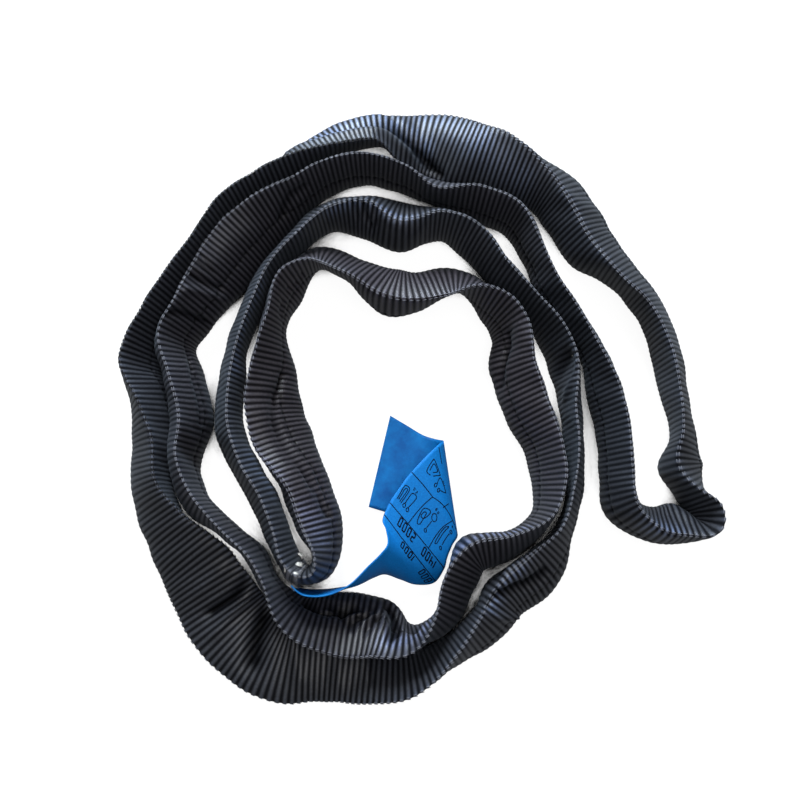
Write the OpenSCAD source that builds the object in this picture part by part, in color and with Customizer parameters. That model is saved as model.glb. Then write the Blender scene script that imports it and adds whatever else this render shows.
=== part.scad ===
// Endless textile round sling of about 2 t capacity and 1.5 m working length, dropped on the floor
// in a loose coil. A ribbed tubular sleeve covers one endless hank of polyester yarn. The sleeve's
// two ends lap at one joint, where a blue identification label is sewn in. Millimetres, +Z up.
// The sling lies on Z = 0, and the origin is the middle of its footprint.

/* [Coil] */
// Width of the coil from its left side to the outer bight
coil_width = 346; // [344:1:360]

/* [Sleeve] */
// Width of the empty sleeve when it is pressed flat
flat_width = 53; // [51:0.5:54]
// Thickness of the sleeve's woven wall
wall = 1.2; // [0.8:0.1:1.4]
// Clearance between pieces that lie against each other
clearance = 0.3; // [0.2:0.05:0.5]
// How far the load-side half of the section is slimmer towards the upper edge, as a share
sag = 0.6; // [0.3:0.05:0.7]
// Length of sleeve that the lapped joint hides, counted in route stations
lap_stations = 3; // [2:1:4]

/* [Yarn core] */
// Thickness of the yarn hank as a share of the room inside the sleeve
core_fill = 0.55; // [0.35:0.05:0.6]
// Height of the yarn hank as a share of the room inside the sleeve
core_height = 0.7; // [0.5:0.02:0.7]
// Width of the tape that binds the yarn ends, counted in route stations
tape_stations = 1; // [1:1:2]
// Thickness of that tape
tape_thickness = 0.5; // [0.3:0.1:0.6]

/* [Sewing] */
// Diameter of the seam and joint threads
thread_d = 0.8; // [0.6:0.1:1]
// Turn of the edge seams away from the sleeve's folded edge, in degrees round the section
seam_turn = 18; // [16:1:24]
// Stitches on each flat of the section in the rows that close the sleeve's joint
joint_stitches = 2; // [1:1:3]
// Stitches in the row that holds the label
label_stitches = 6; // [4:1:8]

/* [Label] */
// Thickness of the label cloth
label_thickness = 0.8; // [0.6:0.1:1]
// Slit between the sewn part of the label and the part that lifts
label_slit = 0.9; // [0.8:0.1:1.2]

/* [Hidden] */

// The stations below are drawn for a coil and a flat sleeve of these widths
drawn_coil = 346;
drawn_flat = 53;
plan = coil_width / drawn_coil;   // spreads the route and the label over the floor
girth = flat_width / drawn_flat;  // thickens the strands and raises the label with the sleeve

// Middle of the footprint in the route's own coordinates
route_middle = plan * [-4, 8];
sides = 10;      // corners of a sleeve section
core_sides = 8;  // corners of a yarn section
rings = 2;       // sections for each route station
// A fuller section is less tall: (t/w)^p and (h/h0)^(1/q) share the sleeve's fixed girth
fold_power = 1.54;
fold_root = 0.65;

// One station of the endless route: [x, y, roll, thickness, spread]. Roll turns the sleeve's
// seamed edge from straight up towards the right of the travel, in degrees. Spread widens the
// sleeve where a corner pulls it open, or narrows it where it is gathered.
outer_strand = [
  [152, -38, -18, 23, 1], [154, -20, -15, 14, 1], [151, 5, -10, 14, 1], [147, 31, -10, 16, 1],
  [138, 57, -15, 16, 1], [122, 78, -20, 18, 1], [105, 97, -12, 28, 1], [93, 119, -8, 30, 1],
  [79, 137, 0, 28, 1], [54, 149, 28, 22, 1], [30, 158, 52, 18, 0.95], [9, 167, 80, 16, 0.92],
  [-10, 170, 115, 16, 0.9], [-28, 171, 145, 16, 1], [-52, 164, 155, 16, 1], [-79, 147, 175, 14, 1],
  [-101, 133, 180, 14, 1], [-121, 117, 180, 12, 1], [-135, 94, 180, 12, 1], [-147, 75, 183, 14, 1],
  [-161, 51, 183, 14, 1], [-170, 22, 190, 16, 1], [-164, -1, 180, 18, 1], [-160, -25, 166, 20, 1],
  [-159, -51, 160, 18, 1], [-147, -77, 140, 18, 1], [-132, -98, 115, 16, 1.05],
  [-121, -116, 105, 12, 1.05], [-108, -134, 90, 14, 1], [-84, -150, 90, 16, 1],
  [-56, -152, 85, 16, 0.9], [-28, -155, 60, 14, 0.85], [-2, -155, 20, 14, 1], [19, -143, 0, 16, 1],
  [36, -128, -15, 20, 1], [47, -112, -20, 24, 1], [67, -97, -25, 22, 1], [81, -77, -10, 11, 1],
  [89, -52, -10, 9, 1], [90, -29, -5, 10, 1], [89, -5, -5, 12, 1], [87, 18, 5, 12, 1],
  [80, 39, 5, 12, 1], [66, 60, 0, 12, 1], [50, 79, 0, 14, 1], [34, 99, 5, 16, 1],
  [13, 112, -5, 16, 1], [-12, 111, -10, 27, 1], [-33, 118, 0, 23, 1], [-58, 116, -10, 16, 1],
  [-78, 98, -10, 12, 1], [-93, 80, -10, 12, 1], [-103, 57, -10, 12, 1], [-111, 32, -10, 12, 1],
  [-115, 8, -10, 12, 1], [-115, -17, -10, 12, 1], [-105, -40, -5, 12, 1], [-93, -60, -5, 12, 1],
  [-85, -80, -5, 11, 1], [-79, -93, 0, 11, 1]];
inner_bight = [[-70, -102, 0, 12, 1], [-61, -100, 0, 12, 1]];
inner_strand = [
  [-57, -88, -10, 12, 1], [-62, -70, -20, 20, 1], [-71, -48, -20, 22, 1], [-82, -24, -40, 16, 1],
  [-89, -3, -35, 16, 1], [-90, 21, -20, 16, 1], [-90, 48, 0, 14, 1], [-81, 72, -5, 14, 1],
  [-63, 88, 20, 13, 1], [-41, 80, 20, 15, 1], [-21, 68, 20, 26, 1], [-3, 67, 25, 22, 1],
  [21, 73, 28, 12, 1], [43, 61, -5, 16, 1], [55, 44, -15, 16, 1], [57, 20, -20, 18, 1],
  [65, -4, -20, 22, 1], [74, -26, -12, 18, 1], [76, -48, -10, 15, 1], [70, -69, -3, 11, 1],
  [51, -83, 8, 14, 1], [29, -88, 10, 20, 1], [20, -105, 20, 14, 1], [11, -126, 12, 11, 1],
  [-7, -138, -12, 12, 1], [-26, -132, -38, 16, 1], [-47, -129, -44, 16, 1], [-72, -124, -22, 12, 1],
  [-88, -107, 0, 10, 1], [-97, -91, 0, 11, 1], [-112, -77, 0, 10, 1], [-131, -59, 5, 12, 1],
  [-139, -36, 0, 12, 1], [-137, -11, -5, 18, 1], [-142, 15, -10, 15, 1], [-148, 36, -10, 13, 1],
  [-137, 57, -15, 14, 1], [-125, 77, -25, 16, 1], [-112, 96, -30, 16, 1], [-97, 113, -20, 16, 1],
  [-78, 128, -5, 14, 1], [-58, 141, 0, 12, 1], [-34, 148, 5, 14, 1], [-9, 140, 5, 12, 1],
  [11, 131, 15, 14, 1], [34, 126, 0, 16, 1], [58, 115, 0, 16, 1], [69, 93, 0, 12, 1],
  [78, 71, 0, 12, 1], [91, 50, 0, 14, 1], [103, 31, 5, 14, 1], [110, 7, -5, 16, 1],
  [115, -16, -5, 16, 1], [116, -40, -5, 16, 1], [118, -62, -5, 16, 1]];
outer_bight = [[134, -73, 8, 18, 1], [148, -74, 14, 20, 1], [161, -74, 12, 12, 1],
               [163, -64, 8, 12, 1], [158, -54, -5, 14, 1]];
route = [for (p = concat(outer_strand, inner_bight, inner_strand, outer_bight))
  [plan * p.x, plan * p.y, p[2], girth * p[3], p[4]]];
station_count = len(route);

// The lapped joint: the sleeve's tail starts inside its mouth and runs once round the loop.
mouth_station = len(outer_strand);
tail_station = mouth_station - lap_stations;
lap_inset = wall + clearance;
lap_reach = 0.25;  // the tail keeps its small size this far past the mouth, in stations
lap_taper = 1;     // and then grows to full size over this many
tape_station = 75;  // where the tape binds the yarn ends, on the inner strand

// The label cloth, as straight rulings from its upper edge to its lower edge, in route coordinates:
// [upper x, y, z, lower x, y, z, bow]. Bow is how far the cloth swells between its two edges.
label_rows = [
  [-73, -107, 47, -74, -109, 3, 1], [-67, -112, 47, -67, -110, 3, 0], [-58, -113, 47, -58, -110, 3, 0],
  [-49, -111, 46, -49, -109, 3, 0], [-40, -106, 44, -38, -107, 4, 1], [-31, -97, 42, -29, -103, 5, 2],
  [-24, -90, 38, -22, -101, 4, 3], [-20, -84, 34, -13, -104, 3, 4], [-21, -76, 31, -4, -107, 3, 4],
  [-23, -70, 28, 7, -106, 5, 3], [-19, -60, 26, 13, -98, 8, 2], [-13, -51, 25, 15, -91, 9, 1],
  [-8, -44, 24, 18, -84, 9, 1], [2, -33, 22, 20, -81, 9, 1], [10, -25, 18, 21, -79, 7, 0],
  [13, -22, 11, 21, -77, 4, 0], [9, -20, 4, 18, -76, 1, 0], [1, -17, 1, 8, -73, 1, 0],
  [-9, -11, 1, -12, -67, 1, 0], [-19, -5, 1, -32, -61, 1, 0]];
label_rulings = [for (r = label_rows)
  [plan * r[0], plan * r[1], girth * r[2], plan * r[3], plan * r[4], girth * r[5], girth * r[6]]];
label_joint = 4;  // the ruling about which the free part of the label swings
label_steps = 3;  // rulings drawn for each one listed
label_cells = 5;  // panels across the label

// Route: a Catmull-Rom curve through the stations, closed on itself
function station(i) = route[((i % station_count) + station_count) % station_count];
function blend_row(a, b, c, d, u) =
  0.5 * (2 * b + (c - a) * u + (2 * a - 5 * b + 4 * c - d) * u * u
         + (3 * b - 3 * c + d - a) * u * u * u);
function at(s) = let (i = floor(s), u = s - i)
  blend_row(station(i - 1), station(i), station(i + 1), station(i + 2), u);
function heading(s) = let (d = at(s + 0.5) - at(s - 0.5), l = norm([d.x, d.y])) [d.x / l, d.y / l];

// Section: a folded sleeve of fixed girth, sharp at its slim edge and full below
function half_height(p) =
  flat_width / 2 * pow(1 - pow(p[3] / flat_width, fold_power), fold_root) * p[4];
function slim(p) = sag * cos(p[2]);
// Point of the section in its own plane as [right, up], inset from the outside
function section_point(p, turn, inset) =
  let (a = (half_height(p) - inset) * cos(turn),
       b = (p[3] / 2 - inset) * sin(turn) * (1 - slim(p) * cos(turn)))
  [a * sin(p[2]) + b * cos(p[2]), a * cos(p[2]) - b * sin(p[2])];
other_edge = 180;  // turn of the section's second folded edge
thread_turns = [seam_turn, -seam_turn, other_edge - seam_turn];
thread_rise = thread_d / 2 + clearance;
// Height of the section's middle when the section and its threads rest on the floor
function rest_height(p) =
  -min([for (k = [0 : sides - 1]) section_point(p, k * 360 / sides, 0)[1],
        for (turn = thread_turns) section_point(p, turn, -thread_rise)[1] - thread_d / 2]);
// A point of the section at route position s, in the part's frame
function placed(s, flat) = let (p = at(s), h = heading(s))
  [p.x + h.y * flat[0] - route_middle.x, p.y - h.x * flat[0] - route_middle.y,
   rest_height(p) + flat[1]];

// Inset of the sleeve's outside: the tail is smaller where it lies inside the mouth
grown_station = mouth_station + lap_reach + lap_taper;
function tail_inset(s) = s < mouth_station + lap_reach ? lap_inset
  : s < grown_station ? lap_inset * (grown_station - s) / lap_taper : 0;
// The yarn hank runs on through the lap, so it keeps the tail's inset on both passes
function hank_inset(s) = let (w = s >= tail_station + station_count ? s - station_count : s)
  wall + tail_inset(w);

core_drop = 0.2;  // how far the hank sits down in a slim-topped section, as a share of its height
function sleeve_ring(s, inset) =
  [for (k = [0 : sides - 1]) placed(s, section_point(at(s), k * 360 / sides, inset))];
function core_ring(s, extra) =
  let (p = at(s), h = half_height(p) - hank_inset(s), t = p[3] / 2 - hank_inset(s),
       fat = -core_drop * slim(p) * h)
  [for (k = [0 : core_sides - 1])
    let (a = fat + (core_height * h + extra) * cos(k * 360 / core_sides),
         b = (core_fill * t + extra) * sin(k * 360 / core_sides))
    placed(s, [a * sin(p[2]) + b * cos(p[2]), a * cos(p[2]) - b * sin(p[2])])];

// Skins between rings of n points
function strip(n, r, q, out) = [for (k = [0 : n - 1])
  let (k2 = (k + 1) % n, a = r * n + k, b = r * n + k2, c = q * n + k2, d = q * n + k)
  each (out ? [[a, c, b], [a, d, c]] : [[a, b, c], [a, c, d]])];
function fan(n, first, out) = [for (k = [1 : n - 2])
  out ? [first, first + k, first + k + 1] : [first, first + k + 1, first + k]];
// A closed loop of rings, with no ends
module endless(list, n) {
  count = len(list);
  polyhedron([for (ring = list) each ring],
             [for (r = [0 : count - 1]) each strip(n, r, (r + 1) % count, true)]);
}
// A solid rod of rings, with flat ends
module rod(list, n) {
  count = len(list);
  polyhedron([for (ring = list) each ring],
             concat([for (r = [0 : count - 2]) each strip(n, r, r + 1, true)],
                    fan(n, 0, true), fan(n, (count - 1) * n, false)));
}
// A hollow tube: outer rings, then as many inner rings, joined at both open ends
module tube(outer, inner, n) {
  count = len(outer);
  joined = concat(outer, inner);
  polyhedron([for (ring = joined) each ring],
             concat([for (r = [0 : count - 2]) each strip(n, r, r + 1, true)],
                    [for (r = [count : 2 * count - 2]) each strip(n, r, r + 1, false)],
                    strip(n, count, 0, true), strip(n, count - 1, 2 * count - 1, true)));
}

// Label: a thin cloth over its rulings
last_row = len(label_rows) - 1;
function label_row(i) = label_rulings[max(0, min(last_row, i))];
function ruling(v) = let (i = min(floor(v), last_row - 1), u = v - i)
  blend_row(label_row(i - 1), label_row(i), label_row(i + 1), label_row(i + 2), u);
function edge_point(row, side) = [row[3 * side], row[3 * side + 1], row[3 * side + 2]];
function unit(a) = a / norm(a);
function ruling_middle(row) = (edge_point(row, 0) + edge_point(row, 1)) / 2;
function facing(v) =
  let (a = ruling(v), b = ruling(min(v + 0.1, last_row)), c = ruling(max(v - 0.1, 0)))
  unit(cross(edge_point(a, 1) - edge_point(a, 0), ruling_middle(b) - ruling_middle(c)));
// A point of the cloth's middle, at ruling v and share f of the way to the lower edge
function cloth(v, f) = let (row = ruling(v), a = edge_point(row, 0), b = edge_point(row, 1))
  a + (b - a) * f + facing(v) * row[6] * 4 * f * (1 - f) - [route_middle.x, route_middle.y, 0];
// End face of a cloth: the ring runs along its top and back under it
function ladder(n, first, out) = [for (k = [0 : n / 2 - 2])
  let (a = first + k, b = a + 1, c = first + n - 2 - k, d = c + 1)
  each (out ? [[a, b, c], [a, c, d]] : [[a, c, b], [a, d, c]])];
module cloth_sheet(v0, v1) {
  count = round((v1 - v0) * label_steps);
  steps = [for (k = [0 : count]) v0 + (v1 - v0) * k / count];
  across = [for (k = [0 : label_cells]) k / label_cells];
  half = label_thickness / 2;
  n = 2 * label_cells + 2;
  polyhedron([for (v = steps) each concat(
               [for (f = across) cloth(v, f) + half * facing(v)],
               [for (k = [label_cells : -1 : 0]) cloth(v, across[k]) - half * facing(v)])],
             concat([for (r = [0 : count - 1]) each strip(n, r, r + 1, true)],
                    ladder(n, 0, true), ladder(n, count * n, false)));
}

module sleeve() {
  steps = [for (k = [tail_station * rings : (mouth_station + station_count) * rings]) k / rings];
  color([0.17, 0.17, 0.19])
    tube([for (s = steps) sleeve_ring(s, tail_inset(s))],
         [for (s = steps) sleeve_ring(s, wall + tail_inset(s))], sides);
}

module yarn_core() {
  steps = [for (k = [0 : station_count * rings - 1]) tail_station + k / rings];
  color([0.93, 0.92, 0.88])
    endless([for (s = steps) core_ring(s, 0)], core_sides);
}

module yarn_end_tape() {
  steps = [for (k = [0 : tape_stations * rings]) tape_station + k / rings];
  color([0.85, 0.78, 0.5])
    tube([for (s = steps) core_ring(s, clearance + tape_thickness)],
         [for (s = steps) core_ring(s, clearance)], core_sides);
}

// A thread that lies along the sleeve at one turn of its section
function thread_ring(s, turn) =
  let (p = at(s), m = section_point(p, turn, tail_inset(s) - thread_rise),
       h = heading(s), r = thread_d / 2)
  [for (k = [0 : 2]) placed(s, m + r * [sin(k * 120 + 60), cos(k * 120 + 60)])];
module long_thread(turn) {
  steps = [for (k = [(mouth_station + 1) * rings : (mouth_station + station_count) * rings])
           k / rings];
  rod([for (s = steps) thread_ring(s, turn)], 3);
}
module upper_seam_thread() {
  color([0.62, 0.64, 0.68]) for (turn = [seam_turn, -seam_turn]) long_thread(turn);
}
module lower_seam_thread() {
  color([0.08, 0.08, 0.09]) long_thread(other_edge - seam_turn);
}

// Half of the slit between the label's two parts, counted in rulings
half_slit = label_slit / 2 / norm(cloth(label_joint + 0.5, 0.5) - cloth(label_joint - 0.5, 0.5));
// The sewn part of the label, which follows the inner bight
module label_root() {
  color([0.15, 0.5, 0.8]) cloth_sheet(0, label_joint - half_slit);
}
// The free part of the label, curled under at its far end
module label_flap() {
  color([0.18, 0.55, 0.85]) cloth_sheet(label_joint + half_slit, last_row);
}

// A short stitch: a three-cornered rod from one point to another, lifted off the cloth it holds
module stitch(from, to, outward) {
  r = thread_d / 2;
  side = r * unit(cross(to - from, outward));
  rod([for (m = [from, to]) [m - side, m + r * unit(outward), m + side]], 3);
}
// A stitch leaves this share of its pitch free at each end
stitch_gap = 0.2;
// Where the two rows that close the joint run, in stations short of the mouth
joint_rows = [0.5, 0.4];
// Two rows of stitches round the mouth close the lapped joint, along the flats of the section
module joint_stitching() {
  color([0.7, 0.72, 0.76])
    for (row = joint_rows, k = [1 : sides - 2], n = [0 : joint_stitches - 1])
      if (k != sides / 2 - 1 && k != sides / 2) {
        s = mouth_station + station_count - row;
        p = at(s);
        a = placed(s, section_point(p, k * 360 / sides, -thread_rise));
        b = placed(s, section_point(p, (k + 1) * 360 / sides, -thread_rise));
        stitch(a + (b - a) * (n + stitch_gap) / joint_stitches,
               a + (b - a) * (n + 1 - stitch_gap) / joint_stitches,
               (a + b) / 2 - placed(s, [0, 0]));
      }
}
// The ruling that the label's stitches follow
sewn_ruling = 0.4;
// One upright row of stitches holds the label to the sleeve's joint
module label_stitching() {
  color([0.2, 0.6, 0.9])
    for (k = [0 : label_stitches - 1]) {
      lift = (label_thickness / 2 + clearance) * facing(sewn_ruling);
      stitch(cloth(sewn_ruling, (k + stitch_gap) / label_stitches) + lift,
             cloth(sewn_ruling, (k + 1 - stitch_gap) / label_stitches) + lift,
             facing(sewn_ruling));
    }
}

sleeve();
yarn_core();
yarn_end_tape();
upper_seam_thread();
lower_seam_thread();
joint_stitching();
label_root();
label_flap();
label_stitching();
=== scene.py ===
import bpy
import numpy as np
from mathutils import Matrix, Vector


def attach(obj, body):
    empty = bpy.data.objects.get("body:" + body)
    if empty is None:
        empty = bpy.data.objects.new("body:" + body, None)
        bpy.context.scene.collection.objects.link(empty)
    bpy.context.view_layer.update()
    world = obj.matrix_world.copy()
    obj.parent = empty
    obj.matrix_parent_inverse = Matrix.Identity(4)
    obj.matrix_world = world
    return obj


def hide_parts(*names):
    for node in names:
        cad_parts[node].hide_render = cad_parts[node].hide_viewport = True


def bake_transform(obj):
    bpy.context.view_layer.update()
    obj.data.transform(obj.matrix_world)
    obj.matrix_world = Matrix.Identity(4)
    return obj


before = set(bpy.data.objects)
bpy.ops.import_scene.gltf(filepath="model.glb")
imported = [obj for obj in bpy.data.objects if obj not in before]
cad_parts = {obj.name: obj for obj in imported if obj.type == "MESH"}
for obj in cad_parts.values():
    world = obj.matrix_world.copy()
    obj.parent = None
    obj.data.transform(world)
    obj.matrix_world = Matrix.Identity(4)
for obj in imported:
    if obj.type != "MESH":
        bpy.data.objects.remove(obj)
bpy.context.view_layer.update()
print("frame loaded")

mm = 0.001   # lengths are millimetres where nothing else is said


def smoothStep(x):
    # 3 x^2 - 2 x^3, with x held between 0 and 1
    x = np.clip(x, 0, 1)
    return x * x * (3 - 2 * x)


def bell(x, width):
    # exp(-(x / width)^2)
    return np.exp(-(x / width) ** 2)


def catmullRom(table, s, closed=True):
    # Curve through the rows of a table: 0.5 (2b + (c-a)u + (2a-5b+4c-d)u^2 + (3b-3c+d-a)u^3)
    n = len(table)
    i = np.floor(s).astype(int)
    if not closed:
        i = np.minimum(i, n - 2)
    u = (s - i)[:, None]
    pick = (lambda k: table[(i + k) % n]) if closed else (lambda k: table[np.clip(i + k, 0, n - 1)])
    a, b, c, d = pick(-1), pick(0), pick(1), pick(2)
    return 0.5 * (2 * b + (c - a) * u + (2 * a - 5 * b + 4 * c - d) * u ** 2
                  + (3 * b - 3 * c + d - a) * u ** 3)


def meshObject(name, points, faces, material, uv=None, attributes=(), caps=()):
    # A smooth object from points in millimetres and quads, with its UV map, point values and caps
    mesh = bpy.data.meshes.new(name)
    points = points.reshape(-1, 3) * mm
    mesh.from_pydata(points.tolist(), [], faces.tolist() + [cap.tolist() for cap in caps])
    if uv is not None:
        layer = mesh.uv_layers.new(name="clothUv")
        layer.data.foreach_set("uv", uv.astype(np.float32).ravel())
    for attribute, values in attributes:
        mesh.attributes.new(attribute, "FLOAT", "POINT").data.foreach_set(
            "value", values.astype(np.float32).ravel())
    mesh.polygons.foreach_set("use_smooth", np.full(len(mesh.polygons), True))
    mesh.materials.append(material)
    mesh.update()
    obj = bpy.data.objects.new(name, mesh)
    bpy.context.scene.collection.objects.link(obj)
    return obj


def ringFaces(rings, around, closed=False):
    # Quads between neighbouring rings; a closed loop joins its last ring to its first
    i = np.arange(rings if closed else rings - 1)[:, None] * around
    j = np.arange(around)[None, :]
    ahead, k = (i + around) % (rings * around), (j + 1) % around
    return np.stack([i + j, ahead + j, ahead + k, i + k], -1).reshape(-1, 4)


def tubeFaces(rings, sides, end, copies=1):
    # Quads of a tube and of its ends, the far one turned round, shifted by its points for each copy
    end = np.array(end)
    one = np.concatenate([ringFaces(rings, sides), end, end[:, ::-1] + (rings - 1) * sides])
    return (one[None] + np.arange(copies)[:, None, None] * rings * sides).reshape(-1, 4)


def stackMeshes(meshes):
    # Several meshes as one, each mesh's faces shifted by the points before it
    starts = np.cumsum([0] + [len(points) for points, faces in meshes])
    return (np.concatenate([points for points, faces in meshes]),
            np.concatenate([faces + start for (points, faces), start in zip(meshes, starts)]))


def setSocket(tree, socket, value):
    # A link from another socket, or a constant, where a colour is given without its alpha
    if isinstance(value, bpy.types.NodeSocket):
        tree.links.new(value, socket)
    else:
        socket.default_value = (*value, 1) if isinstance(value, tuple) else value


def addNode(tree, kind, inputs, output, **settings):
    # A node with its settings and inputs; returns one of its outputs
    node = tree.nodes.new("ShaderNode" + kind)
    for name, value in settings.items():
        setattr(node, name, value)
    for name, value in inputs.items():
        setSocket(tree, node.inputs[name], value)
    return node.outputs[output]


def objectPlace(tree):
    return addNode(tree, "TexCoord", {}, "Object")


def pointValue(tree, name):
    # A value that the mesh carries at each point
    return addNode(tree, "Attribute", {}, "Fac", attribute_name=name)


def noise(tree, place, scale, detail, roughness=0.5):
    inputs = {"Vector": place, "Scale": scale, "Detail": detail, "Roughness": roughness}
    return addNode(tree, "TexNoise", inputs, "Fac")


def calculate(tree, operation, *values):
    return addNode(tree, "Math", dict(enumerate(values)), 0, operation=operation)


def mixColour(tree, factor, first, second, blend="MIX"):
    return addNode(tree, "Mix", {0: factor, 6: first, 7: second}, 2, data_type="RGBA", blend_type=blend)


def ramp(tree, source, *stops):
    # Colour through the stops: each a place from 0 to 1 and a colour, or one number for a grey
    node = tree.nodes.new("ShaderNodeValToRGB")
    while len(node.color_ramp.elements) < len(stops):
        node.color_ramp.elements.new(0.5)
    for element, (place, colour) in zip(node.color_ramp.elements, stops):
        element.position = place
        element.color = (*(colour if isinstance(colour, tuple) else (colour,) * 3), 1)
    tree.links.new(source, node.inputs["Fac"])
    return node.outputs["Color"]


def bump(tree, height, strength, distance, before=None):
    # Normal tilted by the slope of a height, on top of the normal before it if there is one
    inputs = {"Strength": strength, "Distance": distance, "Height": height}
    if before:
        inputs["Normal"] = before
    return addNode(tree, "Bump", inputs, "Normal")


def principled(name, colour, roughness, sheen=0, sheenTint=(1, 1, 1), specular=0.5):
    # A new material, with its node tree and its shader's inputs
    material = bpy.data.materials.new(name)
    material.use_nodes = True
    tree = material.node_tree
    inputs = tree.nodes["Principled BSDF"].inputs
    for socket, value in {"Base Color": colour, "Roughness": roughness, "Specular IOR Level": specular,
                          "Sheen Weight": sheen, "Sheen Roughness": 0.45, "Sheen Tint": sheenTint}.items():
        setSocket(tree, inputs[socket], value)
    return material, tree, inputs


def threadLook(name, colour, sheen):
    # Twisted yarn: its colour times 0.7 to 1.2 over a fine noise, which also roughens it
    material, tree, inputs = principled(name, colour, 0.55, sheen)
    twist = noise(tree, objectPlace(tree), 1500, 1)
    dark, light = (tuple(shade * c for c in colour) for shade in (0.7, 1.2))
    setSocket(tree, inputs["Base Color"], ramp(tree, twist, (0.3, dark), (0.7, light)))
    setSocket(tree, inputs["Normal"], bump(tree, twist, 0.4, 0.0002))
    return material


# Where the loop lies: x, y, roll of the seamed edge in degrees and thickness at each station
outerStrand = [
    [152, -38, -18, 23], [154, -20, -15, 14], [151, 5, -10, 14], [147, 31, -10, 16], [138, 57, -15, 16],
    [122, 78, -20, 18], [105, 97, -12, 28], [93, 119, -8, 30], [79, 137, 0, 28], [54, 149, 28, 22],
    [30, 158, 52, 18], [9, 167, 80, 16], [-10, 170, 115, 16], [-28, 171, 145, 16], [-52, 164, 155, 16],
    [-79, 147, 175, 14], [-101, 133, 180, 14], [-121, 117, 180, 12], [-135, 94, 180, 12],
    [-147, 75, 183, 14], [-161, 51, 183, 14], [-170, 22, 190, 16], [-164, -1, 180, 18],
    [-160, -25, 166, 20], [-159, -51, 160, 18], [-147, -77, 140, 18], [-132, -98, 115, 16],
    [-121, -116, 105, 12], [-108, -134, 90, 14], [-84, -150, 90, 16], [-56, -152, 85, 16],
    [-28, -155, 60, 14], [-2, -155, 20, 14], [19, -143, 0, 16], [36, -128, -15, 20], [47, -112, -20, 24],
    [67, -97, -25, 22], [81, -77, -10, 11], [89, -52, -10, 9], [90, -29, -5, 10], [89, -5, -5, 12],
    [87, 18, 5, 12], [80, 39, 5, 12], [66, 60, 0, 12], [50, 79, 0, 14], [34, 99, 5, 16],
    [13, 112, -5, 16], [-12, 111, -10, 27], [-33, 118, 0, 23], [-58, 116, -10, 16], [-78, 98, -10, 12],
    [-93, 80, -10, 12], [-103, 57, -10, 12], [-111, 32, -10, 12], [-115, 8, -10, 12],
    [-115, -17, -10, 12], [-105, -40, -5, 12], [-93, -60, -5, 12], [-85, -80, -5, 11], [-79, -93, 0, 11]]
innerBight = [[-70, -102, 0, 12], [-61, -100, 0, 12]]
innerStrand = [
    [-57, -88, -10, 12], [-62, -70, -20, 20], [-71, -48, -20, 22], [-82, -24, -40, 16],
    [-89, -3, -35, 16], [-90, 21, -20, 16], [-90, 48, 0, 14], [-81, 72, -5, 14], [-63, 88, 20, 13],
    [-41, 80, 20, 15], [-21, 68, 20, 26], [-3, 67, 25, 22], [21, 73, 28, 12], [43, 61, -5, 16],
    [55, 44, -15, 16], [57, 20, -20, 18], [65, -4, -20, 22], [74, -26, -12, 18], [76, -48, -10, 15],
    [70, -69, -3, 11], [51, -83, 8, 14], [29, -88, 10, 20], [20, -105, 20, 14], [11, -126, 12, 11],
    [-7, -138, -12, 12], [-26, -132, -38, 16], [-47, -129, -44, 16], [-72, -124, -22, 12],
    [-88, -107, 0, 10], [-97, -91, 0, 11], [-112, -77, 0, 10], [-131, -59, 5, 12], [-139, -36, 0, 12],
    [-137, -11, -5, 18], [-142, 15, -10, 15], [-148, 36, -10, 13], [-137, 57, -15, 14],
    [-125, 77, -25, 16], [-112, 96, -30, 16], [-97, 113, -20, 16], [-78, 128, -5, 14], [-58, 141, 0, 12],
    [-34, 148, 5, 14], [-9, 140, 5, 12], [11, 131, 15, 14], [34, 126, 0, 16], [58, 115, 0, 16],
    [69, 93, 0, 12], [78, 71, 0, 12], [91, 50, 0, 14], [103, 31, 5, 14], [110, 7, -5, 16],
    [115, -16, -5, 16], [116, -40, -5, 16], [118, -62, -5, 16]]
outerBight = [
    [134, -73, 8, 18], [148, -74, 14, 20], [161, -74, 12, 12], [163, -64, 8, 12], [158, -54, -5, 14]]
spread = {10: 0.95, 11: 0.92, 12: 0.9, 26: 1.05, 27: 1.05, 30: 0.9, 31: 0.85}   # narrower or wider places
stations = np.array([[*row, spread.get(i, 1)] for i, row in
                     enumerate(outerStrand + innerBight + innerStrand + outerBight)], float)
stationCount = len(stations)
routeMiddle = np.array([-4, 8])   # the middle of the coil, which comes to the origin
mouthStation = len(outerStrand)   # where the sleeve's open mouth ends
tailStation = mouthStation - 3    # where the tail starts inside the lap

sleeve = {
    "flatWidth": 53, "girth": 106, "foldPower": 1.54, "fullness": 0.65, "sag": 0.6,
    "ribPitch": 3.2, "ribHeight": 0.27, "ribPower": 1.2, "ribLevel": 0.75,
    "samplesPerRib": 6, "around": 48, "crowding": 0.16,   # crowded towards the folded edges
    "deepest": -4.6, "valleyShare": 0.38, "valleyLeast": 0.1,   # how deep a valley goes
    "lapInset": 1.5, "lapPast": 1.25,   # the tail's inset, and where it ends in stations past the mouth
    "returnRibs": 8, "returnInset": 1.2, "returnLowest": 0.6,   # the cloth inside the mouth
}
wrinkle = {"height": 0.4, "seed": 11, "waves": 14, "lengths": (16, 85)}   # fine waves of the whole cloth
# Dashed line along the middle of the outer face: widths and columns are turns in radians
marker = {"dash": 5.2, "width": 0.04, "dashDepth": 0.5, "grooveWidth": 0.06, "grooveDepth": 0.3,
          "columns": (-0.08, -0.035, 0.035, 0.08)}


def headings(s):
    # Unit direction of travel in plan: the difference of the curve half a station each side
    d = catmullRom(stations, s + 0.5)[:, :2] - catmullRom(stations, s - 0.5)[:, :2]
    return d / np.hypot(d[:, 0], d[:, 1])[:, None]


def rightOf(travel):
    # Towards the right of the travel: (y, -x)
    return np.stack([travel[:, 1], -travel[:, 0]], -1)


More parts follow.
